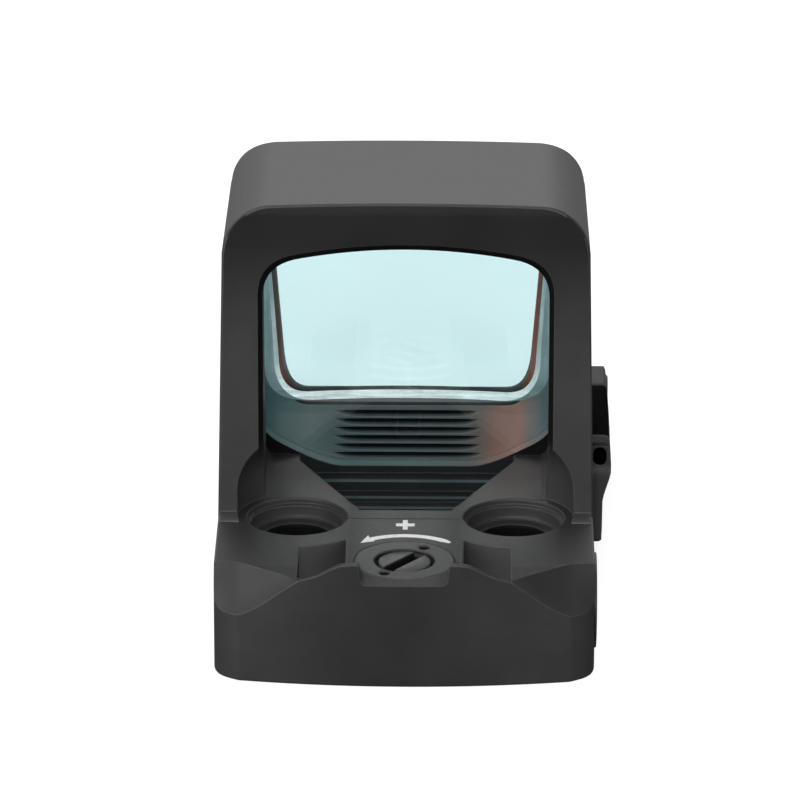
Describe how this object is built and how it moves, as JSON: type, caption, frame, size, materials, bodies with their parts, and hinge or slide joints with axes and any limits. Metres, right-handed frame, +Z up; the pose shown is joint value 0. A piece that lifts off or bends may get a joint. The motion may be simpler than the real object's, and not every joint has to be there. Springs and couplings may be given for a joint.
{
  "type": "miniature open reflex sight",
  "caption": "Compact red dot sight: machined base with a tall square hood, coated lens, flush elevation and windage adjusters, a side battery drawer and brightness buttons.",
  "frame": {"origin": "on the underside plane, midway between the axes of the two mounting-screw wells", "axes": "+X towards the battery drawer, +Y towards the target, +Z up"},
  "size_m": [0.0276, 0.0449, 0.0301],
  "materials": {
    "housing": "black hard anodised, fine bead-blasted satin",
    "frame": "black anodised, glossier sill",
    "plate": "black anodised matt",
    "lens": "dichroic coated, pale cyan in transmission",
    "window": "clear",
    "bond": "cured dark adhesive",
    "screw_black": "black oxide, turned",
    "steel": "spring steel",
    "brass": "machined",
    "rubber": "black moulded",
    "button": "black moulded, matt",
    "led": "clear red package",
    "flex": "amber polyimide",
    "board": "green solder mask",
    "chip": "black epoxy",
    "cell": "nickel-plated can"
  },
  "bodies": {
    "housing": {"housing": "housing", "front_cover": "frame", "lens_rear": "lens", "lens_bond": "bond", "lens_front": "lens", "elevation_disc": "housing", "elevation_click_spring": "steel", "elevation_oring": "rubber", "elevation_spring": "steel", "windage_disc": "housing", "windage_click_spring": "steel", "windage_oring": "rubber", "windage_spring": "steel", "emitter_window": "window", "circuit_board": "board", "controller_chip": "chip", "bottom_plate": "plate", "bottom_gasket": "rubber", "plate_screw_1": "screw_black", "plate_screw_2": "screw_black", "plate_screw_3": "screw_black", "plate_screw_4": "screw_black", "contact_negative": "steel", "contact_positive": "steel", "button_bezel": "plate", "button_pad": "rubber", "switch_dome_minus": "steel", "switch_dome_plus": "steel", "button_board": "board"},
    "elevation_screw": {"elevation_screw": "screw_black"},
    "elevation_carriage": {"elevation_carriage": "brass"},
    "windage_screw": {"windage_screw": "screw_black"},
    "emitter": {"emitter_block": "brass", "emitter_led": "led", "flex_cable": "flex"},
    "battery_tray": {"battery_tray": "housing", "battery_seal": "rubber", "battery": "cell"},
    "tray_screw": {"tray_screw": "screw_black"},
    "button_minus": {"button_minus": "button"},
    "button_plus": {"button_plus": "button"}
  },
  "joints": [
    {"name": "elevation_turn", "type": "hinge", "parent": "housing", "child": "elevation_screw", "pos_m": [0, -0.0079, 0.007], "axis": [0, 0, 1], "range_deg": [-330, 330]},
    {"name": "elevation_travel", "type": "slide", "parent": "housing", "child": "elevation_carriage", "axis": [0, 0, 1], "range_m": [-0.00024, 0.00024]},
    {"name": "windage_turn", "type": "hinge", "parent": "housing", "child": "windage_screw", "pos_m": [0.0125, -0.0063, 0.0039], "axis": [1, 0, 0], "range_deg": [-330, 330]},
    {"name": "windage_travel", "type": "slide", "parent": "elevation_carriage", "child": "emitter", "axis": [1, 0, 0], "range_m": [-0.00024, 0.00024]},
    {"name": "tray_slide", "type": "slide", "parent": "housing", "child": "battery_tray", "axis": [1, 0, 0], "range_m": [0, 0.024]},
    {"name": "tray_lock_turn", "type": "hinge", "parent": "battery_tray", "child": "tray_screw", "pos_m": [0.014, 0.0286, 0.0062], "axis": [1, 0, 0], "continuous": true},
    {"name": "button_minus_press", "type": "slide", "parent": "housing", "child": "button_minus", "axis": [1, 0, 0], "range_m": [0, 0.0004]},
    {"name": "button_plus_press", "type": "slide", "parent": "housing", "child": "button_plus", "axis": [1, 0, 0], "range_m": [0, 0.0004]}
  ],
  "couplings": [
    {"joint": "elevation_turn", "follows": "elevation_travel", "rad_per_m": -23990},
    {"joint": "windage_turn", "follows": "windage_travel", "rad_per_m": 23990}
  ]
}
